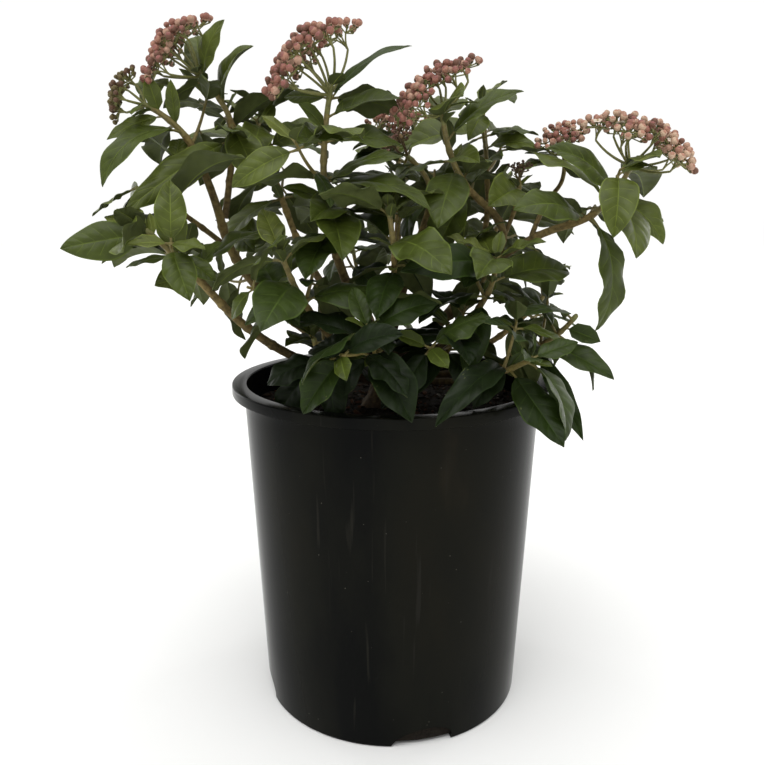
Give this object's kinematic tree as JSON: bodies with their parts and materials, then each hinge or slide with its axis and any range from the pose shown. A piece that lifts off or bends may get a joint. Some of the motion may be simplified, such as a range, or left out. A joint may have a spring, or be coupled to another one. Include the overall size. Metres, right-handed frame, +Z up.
{
  "type": "potted viburnum shrub",
  "caption": "Evergreen viburnum in bud, a low spreading shrub of forked woody boughs with drooping leaves and domed flower clusters, in a black nursery pot.",
  "frame": {"origin": "centre of the pot's flat underside", "axes": "+Z up along the pot's axis, +X to the right and -Y towards the viewer as the picture shows the plant"},
  "size_m": [0.3441, 0.2726, 0.4159],
  "materials": {
    "black_plastic": "satin",
    "potting_mix": "matte",
    "bark": "matte",
    "foliage": "satin",
    "young_stem": "matte",
    "blossom": "matte"
  },
  "bodies": {
    "root": {"bough_back": "bark", "bough_back_left": "bark", "bough_back_left_low": "bark", "bough_back_low": "bark", "bough_back_right": "bark", "bough_back_right_low": "bark", "bough_centre": "bark", "bough_centre_left": "bark", "bough_front": "bark", "bough_front_left": "bark", "bough_front_low": "bark", "bough_front_right": "bark", "bough_inner_left": "bark", "bough_inner_right": "bark", "bough_left_end": "bark", "bough_left_high": "bark", "bough_left_low": "bark", "bough_left_side": "bark", "bough_left_top": "bark", "bough_right": "bark", "bough_right_back": "bark", "bough_right_inner": "bark", "bough_right_low": "bark", "bough_right_outer": "bark", "bough_right_side": "bark", "bough_right_spent": "bark", "bough_rim_right": "bark", "foliage_back": "foliage", "foliage_back_left": "foliage", "foliage_back_left_low": "foliage", "foliage_back_low": "foliage", "foliage_back_right": "foliage", "foliage_back_right_low": "foliage", "foliage_centre": "foliage", "foliage_centre_left": "foliage", "foliage_front": "foliage", "foliage_front_left": "foliage", "foliage_front_low": "foliage", "foliage_front_right": "foliage", "foliage_inner_left": "foliage", "foliage_inner_right": "foliage", "foliage_left_end": "foliage", "foliage_left_low": "foliage", "foliage_left_side": "foliage", "foliage_left_top": "foliage", "foliage_right_back": "foliage", "foliage_right_inner": "foliage", "foliage_right_low": "foliage", "foliage_right_outer": "foliage", "foliage_right_side": "foliage", "foliage_right_spent": "foliage", "foliage_rim_right": "foliage", "pot": "black_plastic", "potting_mix": "potting_mix", "trunk": "bark"}
  },
  "joints": []
}
